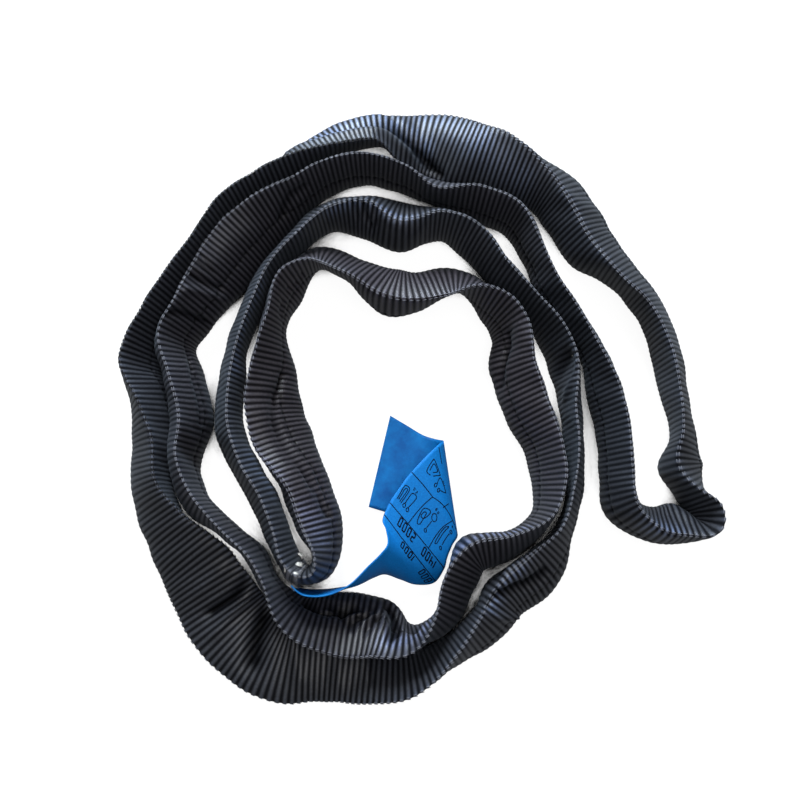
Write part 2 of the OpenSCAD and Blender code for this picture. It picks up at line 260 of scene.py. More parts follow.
def inCoil(rows, side, right, z):
    # Place in the coil: the centre line plus right along the side direction, less the coil's middle
    return np.stack([rows[:, 0:1] + side[:, 0:1] * right - routeMiddle[0],
                     rows[:, 1:2] + side[:, 1:2] * right - routeMiddle[1], z], -1)


def halfHeight(rows):
    # Flat width w and thickness t share the girth: h = w/2 (1 - (t/w)^p)^fullness, times the spread
    w = sleeve["flatWidth"]
    return w / 2 * (1 - (rows[:, 3] / w) ** sleeve["foldPower"]) ** sleeve["fullness"] * rows[:, 4]


def sectionAt(rows, theta, inset):
    # Folded section: a = h cos, b = t/2 sin (1 - k cos), turned by the roll; inset pulls it in
    rho = np.radians(rows[:, 2])[:, None]
    k = sleeve["sag"] * np.cos(rho)
    h = halfHeight(rows)[:, None]
    a = (h - inset) * np.cos(theta)
    b = (rows[:, 3][:, None] / 2 - inset) * np.sin(theta) * (1 - k * np.cos(theta))
    return a * np.sin(rho) + b * np.cos(rho), a * np.cos(rho) - b * np.sin(rho)


def outwardOf(right, up):
    # Outward normal of a section, square to the difference of the points each side
    tr = np.roll(right, -1, 1) - np.roll(right, 1, 1)
    tu = np.roll(up, -1, 1) - np.roll(up, 1, 1)
    size = np.hypot(tr, tu) + 1e-9
    nr, nu = -tu / size, tr / size
    outward = np.sign((nr * right + nu * (up - up.mean(1, keepdims=True))).mean())
    return outward * nr, outward * nu


def restHeight(rows):
    # Height of the section's middle that puts its lowest point on the floor
    theta = np.radians(np.arange(0, 360, 5))[None, :]
    return -sectionAt(rows, theta, 0)[1].min(1)


def stationArc():
    # Length along the centre line at each fine step of the route, from the tail to the mouth
    s = np.linspace(tailStation, mouthStation + stationCount, (stationCount + 3) * 40 + 1)
    p = catmullRom(stations, s)[:, :2]
    step = np.hypot(*np.diff(p, axis=0).T)
    return s, np.concatenate([[0], np.cumsum(step)])


fineStation, fineArc = stationArc()
print("loop length in millimetres", round(float(fineArc[-1])))


# Folds, creases and dents of the cloth: half width and height, negative for a valley, then the station
# and the turn round the section in degrees of each point that it runs through
folds = [
    # lobes and valleys on the outer strand's top
    (3, -4.5, 13.8, 250, 13.3, 252, 12.6, 262, 12, 255, 11.5, 245, 10.9, 230),
    (2.6, -4, 12.6, 300, 12.2, 272, 11.6, 250, 11, 232, 10.5, 222),
    (4, 2.2, 14.6, 282, 13.6, 285, 12.8, 290, 12.3, 280, 11.8, 262),
    (4, 2.6, 15, 232, 13.7, 230, 13, 228, 12.4, 232, 11.9, 232), (9, 2.5, 11, 290, 10.2, 285, 9.4, 290),
    # dents and creases of the second strand's upper left
    (2, -2.4, 98.6, 12, 98.6, 50, 98.8, 92), (2.6, 2, 98.2, 30, 98.4, 70, 98.6, 105),
    (2.6, -3.2, 97.5, 22, 97.7, 60, 97.9, 110), (7, 1.8, 99.3, 60, 99.9, 62, 100.5, 70),
    (3, -2.6, 101.4, 88, 101.9, 60, 102.3, 60), (1.2, -1.3, 99.2, 0, 99, 60),
    (1, -1.2, 98.95, 10, 98.9, 75),
    # buckles under the seam on the inner top
    (1.6, -2.6, 48.2, 30, 48, 310, 47.7, 282), (1.3, -1.8, 48.4, 0, 48.2, 300),
    (1.4, -1.9, 47.9, 20, 47.7, 320, 47.6, 300), (8, 2.2, 47.2, 330, 46.8, 310),
    # small creases of the innermost strand
    (1.2, -1.8, 68.8, 72, 69.1, 78, 69.4, 72), (1.5, -1.6, 68.5, 66, 68.1, 76),
    # long creases beside the seams on the left
    (1.3, -1.8, 96.7, 95, 95.9, 82, 95.4, 80, 94.9, 80), (2.2, 1, 96.2, 70, 95.4, 66, 94.9, 66),
    (1.6, -3, 66.8, 92, 66, 77, 65.2, 68, 64.5, 66, 63.8, 72, 63, 84),
    (5, 1, 66.4, 55, 65.4, 50, 64.4, 50, 63.7, 58),
    # ribs gathered on the outer strand's lower left
    (2.6, -4, 27, 205, 27.2, 245, 27.2, 280), (2.8, 3, 27.6, 225, 27.6, 260, 27.7, 292),
    (5.5, -4.2, 28.2, 215, 28.4, 255, 28.6, 285), (4, 1.6, 29.3, 235, 29.5, 290),
    (3.5, 1.6, 26.4, 230, 26.6, 275),
    # crossways creases along the bottom
    (2, -1.8, 30.9, 240, 31, 300), (4, 1.2, 31.6, 250, 31.7, 300), (4, 1.2, 30.2, 250, 30.3, 300),
    # the bunched cloth under the label
    (1.8, -4, 89, 112, 88.6, 104, 88.1, 98, 87.7, 106), (1.3, -3, 88.9, 98, 88.3, 88, 87.9, 92),
    (1.3, 1.8, 88.8, 106, 88.3, 93), (1.5, -2.2, 88, 84, 87.7, 72),
    (1.3, -2.8, 86.95, 118, 87.4, 104, 88, 92), (1.2, 1.6, 86.95, 115, 87.35, 100, 87.85, 86),
    (1.3, -2.8, 86.95, 112, 87.3, 96, 87.7, 80), (1.2, 1.6, 86.9, 108, 87.2, 92, 87.5, 74),
    (1.3, -2.6, 86.9, 104, 87.1, 88, 87.3, 68), (1.3, 2, 88.6, 118, 88.3, 108, 87.9, 104),
    (1.4, -2.4, 89.4, 108, 89, 100, 88.6, 98), (1.5, 2.4, 87.05, 116, 86.9, 96, 86.85, 80),
    (3.2, -6, 86.8, 122, 86.6, 104, 86.5, 84), (2.2, -3, 86.5, 84, 86.55, 62),
    (4.5, -2.6, 86.1, 112, 85.8, 88), (3, 1.6, 86.2, 48, 85.7, 52),
    # the pinched lobe at the bottom right
    (3.2, -4, 34.6, 0, 35, 40, 35.5, 60, 36, 68), (2.8, 2.8, 34.2, 5, 34.3, 60, 34.7, 98),
    (1.6, -2.4, 34.5, 330, 34.45, 350, 34.4, 15), (5, 1.4, 35.4, 335, 35.8, 335),
    # dent of the innermost strand on the right
    (2, -3, 77.3, 105, 76.9, 92, 76.5, 82, 76.1, 76), (5, 1.6, 76.9, 125, 76.4, 118),
    (5, 1.6, 76.8, 50, 76.2, 45),
    # slanting fold of the second strand on the right
    (3.4, 1.8, 41, 345, 40.6, 322, 40.3, 292), (4.5, -2.4, 41.3, 310, 41, 275),
    # the outer bight's puffed lobe
    (5, 2, 117.3, 262, 117.9, 262, 118.3, 285), (2.4, -2, 117, 20, 117.5, 15),
    # fuller cheeks where strands lean together on the left
    (13, 4.6, 53.8, 285, 58.6, 285), (11, 2.6, 62.6, 285, 65, 285), (12, 3.6, 93, 285, 97.2, 285),
    (13, 3.6, 21.6, 78, 25.6, 78),
]

# Lines of painted sheen, where the rib tops are painted bright and bluish, with a strength instead of a
# height
paintedSheenLines = [
    (8, 1, 14.8, 262, 14.1, 256, 13.4, 262, 12.5, 280), (8, 0.8, 11.4, 312, 10.6, 312, 9.8, 322),
    (5, 0.7, 11.8, 268, 11.2, 262), (6, 0.9, 86.7, 52, 86.3, 58, 85.8, 64, 85.3, 60),
    (7, 0.5, 65.6, 345, 65, 350, 64.4, 5), (8, 0.4, 56.8, 290, 56, 300),
    (8, 0.5, 63.2, 30, 62.8, 50, 62.4, 60), (6, 0.8, 83.2, 35, 82.5, 50, 81.7, 45),
    (8, 0.8, 116.8, 45, 117, 10, 117.3, 345), (6, 0.6, 51.5, 318, 52.7, 326, 53.6, 330),
    (6, 0.7, 48.9, 330, 48.2, 345, 47.4, 8, 46.8, 5), (9, 0.3, 9.8, 290, 8.6, 295),
    (6, 0.7, 35.5, 18, 35, 20, 34.6, 30),
]


def alongLines(lines, s, theta):
    # Sum over the lines of height times the bell of the distance over the cloth to the line
    arc = np.interp(s, fineStation, fineArc)
    turns = np.broadcast_to(theta / (2 * np.pi) * sleeve["girth"], (len(s), theta.shape[-1]))
    half = sleeve["girth"] / 2
    total = np.zeros(turns.shape)
    for width, height, *line in lines:
        place, turned = np.reshape(line, (-1, 2)).T
        place = np.interp(place + stationCount * (place < mouthStation), fineStation, fineArc)
        turned = turned / 360 * sleeve["girth"]
        near = np.full(total.shape, np.inf)
        rows = np.flatnonzero((arc > place.min() - 3 * width) & (arc < place.max() + 3 * width))
        for arcA, turnA, arcB, turnB in zip(place, turned, place[1:], turned[1:]):
            across = (turnB - turnA + half) % (2 * half) - half   # the short way round
            alongPart = arcB - arcA
            da = arc[rows, None] - arcA
            dt = (turns[rows] - turnA - across / 2 + half) % (2 * half) - half + across / 2
            share = np.clip((da * alongPart + dt * across) / (alongPart ** 2 + across ** 2), 0, 1)
            gap = np.hypot(da - share * alongPart, dt - share * across)
            near[rows] = np.minimum(near[rows], gap)
        total[rows] += height * bell(near[rows], width)
    return total


def foldRelief(s, theta):
    # The folds, held above a share of the thickness times |sin| so that they stay off the far side
    thick = catmullRom(stations, s)[:, 3:4]
    share = -sleeve["valleyShare"] * np.abs(np.sin(theta))
    lowest = np.maximum(sleeve["deepest"], share * thick - sleeve["valleyLeast"])
    return np.maximum(alongLines(folds, s, theta), lowest)


def wrinkles(arc, theta):
    # Sum of seeded waves that run along and round the sleeve
    random = np.random.default_rng(wrinkle["seed"])
    total = np.zeros((len(arc), theta.shape[-1]))
    count = wrinkle["waves"]
    for length, turns in zip(random.uniform(*wrinkle["lengths"], count), random.integers(1, 4, count)):
        total += random.uniform(0.5, 1) * np.sin(
            2 * np.pi * arc[:, None] / length + turns * theta + random.uniform(0, 7))
    return total / 3


def clothRelief(s, theta):
    # Wrinkles and folds together, along the section's outward normal
    return wrinkle["height"] * wrinkles(np.interp(s, fineStation, fineArc), theta) + foldRelief(s, theta)


def ribHeightAt(phase):
    # Rounded rib over each pitch: |sin(pi u)|^power
    return np.abs(np.sin(np.pi * phase)) ** sleeve["ribPower"]


def markerDashes(arc, theta):
    # Dashed line woven along the middle of the outer face: 1 in a dash, 0 in its gap and elsewhere
    dash = smoothStep(1.6 * np.sin(2 * np.pi * arc / marker["dash"]) + 0.9)
    return bell(theta - np.pi / 2, marker["width"]) * dash[:, None]


def tailInset(s):
    # The tail is smaller inside the mouth and grows to full size past it
    return sleeve["lapInset"] * np.clip(mouthStation + sleeve["lapPast"] - s, 0, 1)


def turnsRound():
    # Turns round the section: 2 pi u - crowding sin(4 pi u), and the columns beside the marker
    u = np.arange(sleeve["around"]) / sleeve["around"]
    even = 2 * np.pi * u - sleeve["crowding"] * np.sin(4 * np.pi * u)
    return np.sort(np.concatenate([even, np.pi / 2 + np.array(marker["columns"])]))[None, :]


# Stations where the brown of the inner rounds starts and ends, with the width of each fade
rounds = {"inmost": (61, 3, 84, 6), "second": (80, 4, 110), "secondTone": 0.5}
# Painted sheen along the folded edges and the most painted sheen there is anywhere; depth at which a
# valley's painted shade is all dark
paintedLight = {"edge": 0.2, "edgeWidth": 0.07, "most": 1.5, "creaseDepth": 4.5}


def innerTone(s):
    # 1 on the innermost round, where the cloth is browner, a half on the next and 0 on the outer strand
    start, startFade, end, endFade = rounds["inmost"]
    inmost = smoothStep((s - start) / startFade) * smoothStep((end - s) / endFade)
    start, startFade, end = rounds["second"]
    return np.clip(inmost + rounds["secondTone"] * smoothStep((s - start) / startFade) * (s < end), 0, 1)


def buildSleeve(material):
    # The section carried along the route, moved along its normal by ribs, marker, wrinkles and folds
    ribs = int(fineArc[-1] / sleeve["ribPitch"])
    rings = ribs * sleeve["samplesPerRib"] + 1
    phase = np.linspace(0, ribs, rings)
    arc = phase * fineArc[-1] / ribs
    s = np.interp(arc, fineArc, fineStation)
    theta = turnsRound()
    around = theta.shape[1]
    rows, side = catmullRom(stations, s), rightOf(headings(s))
    middle = restHeight(rows)[:, None]
    right, up = sectionAt(rows, theta, tailInset(s)[:, None])
    nr, nu = outwardOf(right, up)
    ribTop, dashes = ribHeightAt(phase)[:, None], markerDashes(arc, theta)
    groove = marker["grooveDepth"] * bell(theta - np.pi / 2, marker["grooveWidth"])
    out = ((ribTop - sleeve["ribLevel"]) * sleeve["ribHeight"] - groove - marker["dashDepth"] * dashes
           + clothRelief(s, theta))
    right, up = right + nr * out, up + nu * out
    outer = inCoil(rows, side, right, np.maximum(up + middle, 0))

    # the cloth turns back inside the mouth
    back = np.arange(rings - 1, rings - 1 - sleeve["returnRibs"] * sleeve["samplesPerRib"], -2)
    right, up = sectionAt(rows[back], theta, sleeve["returnInset"])
    inner = inCoil(rows[back], side[back], right, np.maximum(up + middle[back], sleeve["returnLowest"]))
    points, total = np.concatenate([outer, inner]), rings + len(back)

    # UV in metres along the sleeve and round it; both ends are closed flat
    girth = np.append(theta[0], 2 * np.pi) / (2 * np.pi) * sleeve["girth"] * mm
    along = np.concatenate([arc, arc[back]]) * mm
    i, j = np.divmod(np.arange((total - 1) * around), around)
    uv = np.stack([np.stack([along[i + di], girth[j + dj]], -1)
                   for di, dj in ((0, 1), (1, 1), (1, 0), (0, 0))], 1)
    uv = np.concatenate([uv.reshape(-1, 2), np.zeros((2 * around, 2))])
    caps = [np.arange(around)[::-1], np.arange((total - 1) * around, total * around)]

    def withReturn(values, rest):
        # each point of the outer skin, then each of the return
        return np.concatenate([np.broadcast_to(values, (rings, around)).ravel(),
                               np.broadcast_to(rest, (len(back), around)).ravel()])

    brown = innerTone(s)[:, None]
    # Painted sheen: the ridges brightened along the folded edges and along the sheen lines
    edge = paintedLight["edge"] * np.exp(-(1 - np.abs(np.cos(theta))) / paintedLight["edgeWidth"])
    paintedSheen = np.clip(edge + alongLines(paintedSheenLines, s, theta), 0, paintedLight["most"])
    # Painted shade in the folds' valleys, deeper valleys darker; the cloth turned back inside the mouth is
    # all in painted shade
    paintedShade = np.clip(-foldRelief(s, theta) / paintedLight["creaseDepth"], 0, 1)
    return meshObject("sleeveSkin", points, ringFaces(total, around)[:, ::-1], material, uv=uv, caps=caps,
                      attributes=[("ribTop", withReturn(ribTop, 0)), ("marker", withReturn(dashes, 0)),
                                  ("innerRound", withReturn(brown, brown[back])),
                                  ("paintedSheen", withReturn(paintedSheen, 0)), ("paintedShade", withReturn(paintedShade, 1))])


def sleeveCloth():
    # Colour by the rib's height, with painted shade in the grooves and painted highlight on the ridges,
    # times tint, patches, fibres, painted sheen and painted shade in the valleys
    look = {"groove": (0.0045, 0.0045, 0.0055), "flank": (0.0135, 0.0137, 0.0158),
            "ridge": (0.05, 0.052, 0.06), "outerTint": (0.93, 1, 1.1), "innerTint": (1.12, 0.98, 1.04),
            "paintedSheen": (4, 4.7, 6), "valley": (0.16, 0.16, 0.17), "marker": (0.0015, 0.0015, 0.002),
            "roughness": 0.44, "sheen": 0.06, "sheenTint": (0.7, 0.83, 1), "specular": 0.42,
            "grooveGloss": 0.06, "ridgeGloss": 0.6, "patchScale": 14, "fibreScale": 900,
            "weaveScale": 500}
    material, tree, inputs = principled("ribbedSleeveCloth", look["ridge"], look["roughness"], look["sheen"],
                                        look["sheenTint"], look["specular"])
    rib, place = pointValue(tree, "ribTop"), objectPlace(tree)
    # Painted shade in the grooves and painted highlight on the ridges: the cloth's dark grey ramped by the
    # rib's height
    tone = ramp(tree, rib, (0, look["groove"]), (0.55, look["flank"]), (1, look["ridge"]))
    tint = mixColour(tree, pointValue(tree, "innerRound"), look["outerTint"], look["innerTint"])
    patch = ramp(tree, noise(tree, place, look["patchScale"], 2), (0.35, 0.9), (0.7, (1.12, 1.1, 1.12)))
    fibre = noise(tree, place, look["fibreScale"], 2)
    specks = ramp(tree, fibre, (0.3, 0.75), (0.7, 1.25))
    # Painted sheen: the rib tops lightened bluish where the sheen value is high
    paintedSheenTop = calculate(tree, "MULTIPLY", pointValue(tree, "paintedSheen"),
                          ramp(tree, rib, (0.35, 0), (1, 1)))
    lightening = mixColour(tree, paintedSheenTop, (1, 1, 1), look["paintedSheen"])
    # Painted shade: colour and gloss darkened towards the valley tone in the folds' valleys and inside the
    # mouth
    deep = ramp(tree, pointValue(tree, "paintedShade"), (0.15, 1), (0.85, look["valley"]))
    for factor in (tint, patch, specks, lightening, deep):
        tone = mixColour(tree, 1, tone, factor, "MULTIPLY")
    tone = mixColour(tree, pointValue(tree, "marker"), tone, look["marker"])
    gloss = ramp(tree, rib, (0.3, look["grooveGloss"]), (0.95, look["ridgeGloss"]))
    setSocket(tree, inputs["Specular IOR Level"], mixColour(tree, 1, gloss, deep, "MULTIPLY"))
    setSocket(tree, inputs["Base Color"], tone)
    uv = addNode(tree, "UVMap", {}, "UV", uv_map="clothUv")
    weave = addNode(tree, "TexWave", {"Scale": look["weaveScale"], "Distortion": 1.5, "Vector": uv}, "Fac",
                    wave_type="BANDS", bands_direction="Y")
    fine = bump(tree, weave, 0.25, 0.0002)
    setSocket(tree, inputs["Normal"], bump(tree, fibre, 0.3, 0.0002, fine))
    return material


# The endless yarn hank: its inset from the sleeve and share of its section, the least wall round it, how
# far it follows the cloth's dents, and the most inset as a share of the thickness
hank = {"around": 24, "rings": 999, "inset": 3.6, "share": 0.8, "wall": 1, "dents": 1.1, "most": 0.46}


def buildHank(material):
    # The sleeve's section pulled in, dented where a fold pushes the cloth in
    s = np.linspace(mouthStation, mouthStation + stationCount, hank["rings"] + 1)[:-1]
    rows = catmullRom(stations, s)
    fine = np.linspace(0, 2 * np.pi, 3 * hank["around"], endpoint=False)[None, :]
    push = np.minimum(foldRelief(s, fine), 0)
    for axis, reach in ((1, 3), (0, 2)):   # the deepest dent near each point
        push = np.minimum.reduce([np.roll(push, step, axis) for step in range(-reach, reach + 1)])
    thick = rows[:, 3:4]
    thin = np.clip(thick / 2 - hank["wall"], hank["wall"], hank["inset"])
    inset = np.minimum(thin - hank["dents"] * push[:, ::3], hank["most"] * thick)
    right, up = sectionAt(rows, fine[:, ::3], inset)
    right, up = hank["share"] * right, hank["share"] * up
    z = np.maximum(up + restHeight(rows)[:, None], hank["wall"])
    points = inCoil(rows, rightOf(headings(s)), right, z)
    return meshObject("yarnHank", points, ringFaces(len(s), hank["around"], closed=True)[:, ::-1], material)


sleeveMaterial = sleeveCloth()
skinPiece = buildSleeve(sleeveMaterial)
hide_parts("sleeve")
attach(skinPiece, "sling")
hankPiece = buildHank(threadLook("coreYarn", (0.75, 0.74, 0.7), 0.3))
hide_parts("yarn_core")
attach(hankPiece, "sling")
print("sleeve built")


def clothFrame(s, theta, rise):
    # Points on the cloth and its travel, across and outward directions, at paired stations and turns
    rows, travel = catmullRom(stations, s), headings(s)
    side, turn, step = rightOf(travel), theta[:, None], 0.02
    inset = tailInset(s)[:, None] - rise - clothRelief(s, turn)
    right, up = sectionAt(rows, turn, inset)
    r1, u1 = sectionAt(rows, turn + step, inset)
    r0, u0 = sectionAt(rows, turn - step, inset)
    dr, du = (r1 - r0)[:, 0], (u1 - u0)[:, 0]
    size = np.hypot(dr, du)
    dr, du = dr / size, du / size
    across = np.stack([side[:, 0] * dr, side[:, 1] * dr, du], -1)
    forward = np.concatenate([travel, np.zeros((len(s), 1))], -1)
    centre = inCoil(rows, side, right, up + restHeight(rows)[:, None])[:, 0]
    return centre, forward, across, np.cross(across, forward)


def stitches(s, theta, rise, size, turned=False):
    # Small capsules on the cloth, along the travel or across it: -cos t long, sin^0.7 t wide, times size
    rings, sides, tip = 5, 6, 0.25
    t = np.linspace(tip, np.pi - tip, rings)[:, None]
    w = np.arange(sides) * 2 * np.pi / sides
    template = np.stack([-np.cos(t) + 0 * w, np.sin(t) ** 0.7 * np.cos(w), np.sin(t) ** 0.7 * np.sin(w)],
                        -1).reshape(-1, 3) * size
    centre, forward, across, normal = clothFrame(s, theta, rise)
    if turned:
        forward, across = across, -forward
    centre[:, 2] = np.maximum(centre[:, 2], size[2])
    points = (centre[:, None] + forward[:, None] * template[None, :, 0:1]
              + across[:, None] * template[None, :, 1:2] + normal[:, None] * template[None, :, 2:3])
    return points.reshape(-1, 3), tubeFaces(rings, sides, [[0, 1, 2, 3], [0, 3, 4, 5]], len(s))


# Stitches of the folded edges: pitch, angle from the edge in radians, rise over the cloth, half sizes
seam = {"lightPitch": 3.2, "darkPitch": 2.4, "angle": 0.15, "rise": 0.25, "start": 50, "short": 6,
        "lightSize": (1.25, 0.26, 0.22), "darkSize": (0.85, 0.3, 0.25)}


def seamRows(name, pitch, middle, size, material):
    # Two rows at an even pitch along the loop, one on each side of a folded edge
    s = np.interp(np.arange(seam["start"], fineArc[-1] - seam["short"], pitch), fineArc, fineStation)
    rows = [stitches(s, np.full(len(s), middle + angle), seam["rise"], size)
            for angle in (seam["angle"], -seam["angle"])]
    return meshObject(name, *stackMeshes(rows), material)


lightThread = threadLook("lightThread", (0.16, 0.168, 0.2), 0.1)
darkThread = threadLook("darkThread", (0.006, 0.006, 0.007), 0.05)
upper = seamRows("upperSeamStitches", seam["lightPitch"], 0, seam["lightSize"], lightThread)
lower = seamRows("lowerSeamStitches", seam["darkPitch"], np.pi, seam["darkSize"], darkThread)
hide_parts("upper_seam_thread")
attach(upper, "sling")
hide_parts("lower_seam_thread")
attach(lower, "sling")
print("seams built")


def fibres(base, forward, bend, length, radius):
    # Tapered fibres: centre base + L (forward t + bend t^2), radius r (1 - 0.9 t^2), four sides
    rings, sides = 5, 4
    t = np.linspace(0, 1, rings)[None, :, None]
    centre = base[:, None] + length[:, None, None] * (forward[:, None] * t + bend[:, None] * t ** 2)
    wide = np.cross(forward, bend + (0.01, 0.02, 0.03))
    wide /= np.linalg.norm(wide, axis=1)[:, None]
    high = np.cross(wide, forward)
    w = (np.arange(sides) * 2 * np.pi / sides)[None, None, :, None]
    ring = wide[:, None, None] * np.cos(w) + high[:, None, None] * np.sin(w)
    points = centre[:, :, None] + ring * (radius * (1 - 0.9 * t ** 2))[..., None]
    return points.reshape(-1, 3), tubeFaces(rings, sides, [range(sides)], len(base))


# Loose yarn at the mouth: station, turn and heading from the travel in degrees, fibres and length
yarnTufts = [(181.12, 276, -20, 26, 4.2), (181.5, 294, 10, 22, 3.6), (181.04, 96, 60, 16, 3.4),
             (181.85, 100, 20, 18, 3.6), (181.8, 340, -30, 16, 3), (181.4, 20, 40, 10, 2.4)]
mouth = {"seed": 5, "tuftSpread": 24, "tuftRadius": 0.3, "fringe": 220, "fringeLength": 2.4,
         "fringeRadius": 0.24, "fringeLowest": 0.8, "stitchesRound": 40, "stitchRise": 0.3}
# Rows that close the lapped joint: station, shift round it, whether stitches run across, half sizes
jointRows = [(181.45, 0, True, (1, 0.24, 0.2)), (181.75, 0, True, (1, 0.24, 0.2)),
             (181.6, 0.03, False, (1.3, 0.2, 0.2))]


def buildTufts(material):
    # Fibres from each tuft's foot, headed its way with some scatter, lifted and bent at random
    random = np.random.default_rng(mouth["seed"])
    tufts = []
    for station, turn, heading, count, length in yarnTufts:
        s = station + random.normal(0, 0.02, count)
        theta = np.radians(turn + random.normal(0, 3, count))
        centre, forward, across, normal = clothFrame(s, theta, 0.1)
        angle = np.radians(heading + random.normal(0, mouth["tuftSpread"], count))[:, None]
        lift = normal * random.uniform(0.1, 0.5, (count, 1))
        aim = forward * np.cos(angle) + across * np.sin(angle) + lift
        bend = normal * random.uniform(-0.4, 0.3, (count, 1)) + across * random.normal(0, 0.25, (count, 1))
        length = length * random.uniform(0.5, 1, count)
        tufts.append(fibres(centre, aim, bend, length, mouth["tuftRadius"]))
    return meshObject("yarnTufts", *stackMeshes(tufts), material)


def buildFringe(material):
    # Cut threads round the mouth, pointing out of it with a little scatter
    random = np.random.default_rng(mouth["seed"] + 1)
    count = mouth["fringe"]
    theta = np.linspace(0, 2 * np.pi, count, endpoint=False)
    s = np.full(count, mouthStation + stationCount - 0.03) - random.uniform(0, 0.12, count)
    centre, forward, across, normal = clothFrame(s, theta, -0.2)
    aim = forward + across * random.normal(0, 0.35, (count, 1)) + normal * random.uniform(0, 0.3, (count, 1))
    bend = normal * random.uniform(-0.5, 0.2, (count, 1)) + across * random.normal(0, 0.4, (count, 1))
    length = mouth["fringeLength"] * random.uniform(0.4, 1, count)
    centre[:, 2] = np.maximum(centre[:, 2], mouth["fringeLowest"])
    return meshObject("mouthFringe", *fibres(centre, aim, bend, length, mouth["fringeRadius"]), material)


def buildJointStitches(material):
    # Stitches evenly round the sleeve at each row's station
    theta = np.linspace(0, 2 * np.pi, mouth["stitchesRound"], endpoint=False)
    rows = [stitches(np.full(len(theta), station), theta + shift, mouth["stitchRise"], size, turned)
            for station, shift, turned, size in jointRows]
    return meshObject("jointStitches", *stackMeshes(rows), material)


tuftPiece = buildTufts(threadLook("whiteYarn", (0.78, 0.77, 0.73), 0.3))
fringePiece = buildFringe(threadLook("cutThreads", (0.17, 0.175, 0.2), 0.2))
jointPiece = buildJointStitches(lightThread)
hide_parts("joint_stitching")
for piece in (tuftPiece, fringePiece, jointPiece):
    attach(piece, "sling")
print("mouth built")

# Rulings across the label: upper edge, lower edge, and how far it bows towards its face between them
labelRows = np.array([
    [-73, -107, 47, -74, -109, 3, 1], [-67, -112, 47, -67, -110, 3, 0], [-58, -113, 47, -58, -110, 3, 0],
    [-49, -111, 46, -49, -109, 3, 0], [-40, -106, 44, -38, -107, 4, 1], [-31, -97, 42, -29, -103, 5, 2],
    [-24, -90, 38, -22, -101, 4, 3], [-20, -84, 34, -13, -104, 3, 4], [-21, -76, 31, -4, -107, 3, 4],
    [-23, -70, 28, 7, -106, 5, 3], [-19, -60, 26, 13, -98, 8, 2], [-13, -51, 25, 15, -91, 9, 1],
    [-8, -44, 24, 18, -84, 9, 1], [2, -33, 22, 20, -81, 9, 1], [10, -25, 18, 21, -79, 7, 0],
    [13, -22, 11, 21, -77, 4, 0], [9, -20, 4, 18, -76, 1, 0], [1, -17, 1, 8, -73, 1, 0],
    [-9, -11, 1, -12, -67, 1, 0], [-19, -5, 1, -32, -61, 1, 0]], float)
labelEnd = len(labelRows) - 1.001   # the last place on the label, just short of its last row
label = {"thickness": 0.7, "alongSteps": 220, "acrossSteps": 28, "clearRow": 10}


def labelSurface(v, f):
    # Rulings from the upper edge a to the lower edge b: a + (b - a) f + facing bow 4 f (1 - f)
    rows, ahead, behind = (catmullRom(labelRows, row, closed=False)
                           for row in (v, np.minimum(v + 0.1, labelEnd), np.maximum(v - 0.1, 0)))
    a, b = rows[:, None, :3], rows[:, None, 3:6]
    along = (ahead - behind)[:, :3] + (ahead - behind)[:, 3:6]
    facing = np.cross(rows[:, 3:6] - rows[:, :3], along)
    facing /= np.linalg.norm(facing, axis=1)[:, None]
    share = np.broadcast_to(f, (len(v), f.shape[-1]))[..., None]
    middle = a + (b - a) * share + facing[:, None] * rows[:, None, 6:7] * 4 * share * (1 - share)
    return middle - np.array([*routeMiddle, 0]), facing


def printSide():
    # +1 when the printed face lies towards the facing direction of the rulings, -1 when it lies away
    facing = labelSurface(np.array([label["clearRow"]]), np.array([0.5]))[1]
    return float(np.sign(facing[0, 2]))


def buildLabel(material):
    # The rulings' surface moved half the thickness to each side, closed at its edges and ends
    v = np.linspace(0, labelEnd, label["alongSteps"])
    f = np.linspace(0, 1, label["acrossSteps"])
    middle, facing = labelSurface(v, f)
    half = label["thickness"] / 2 * facing[:, None]
    ring = np.concatenate([middle + half, (middle - half)[:, ::-1]], 1)
    n = ring.shape[1]
    backSide = np.tile(np.repeat([1, 0] if printSide() < 0 else [0, 1], n // 2), len(v))
    k = np.arange(n // 2 - 1)
    faces = tubeFaces(len(v), n, np.stack([k, k + 1, n - 2 - k, n - 1 - k], -1))
    return meshObject("labelCloth", ring, faces[:, ::-1], material, attributes=[("backSide", backSide)])


def labelCloth():
    # The face's blue over a fine weave, the back's darker blue in patches
    look = {"face": (0.004, 0.172, 0.56), "faceLight": (0.007, 0.225, 0.67), "back": (0.002, 0.094, 0.33),
            "backLight": (0.003, 0.17, 0.49), "roughness": 0.55, "specular": 0.15}
    material, tree, inputs = principled("labelCloth", look["face"], look["roughness"],
                                        specular=look["specular"])
    place = objectPlace(tree)
    weave, patch = noise(tree, place, 1200, 2), noise(tree, place, 70, 4, 0.65)
    face = ramp(tree, weave, (0.3, look["face"]), (0.7, look["faceLight"]))
    back = ramp(tree, patch, (0.35, look["back"]), (0.65, look["backLight"]))
    setSocket(tree, inputs["Base Color"], mixColour(tree, pointValue(tree, "backSide"), face, back))
    setSocket(tree, inputs["Normal"], bump(tree, weave, 0.3, 0.0001))
    return material


def inkLook():
    # Blue-black ink, worn over a fine noise
    look = {"ink": (0.002, 0.003, 0.012), "dark": (0.0012, 0.0015, 0.006), "light": (0.003, 0.006, 0.024)}
    material, tree, inputs = principled("labelInk", look["ink"], 0.7, specular=0.1)
    lightening = noise(tree, objectPlace(tree), 700, 2)
    setSocket(tree, inputs["Base Color"], ramp(tree, lightening, (0.35, look["dark"]), (0.7, look["light"])))
    return material


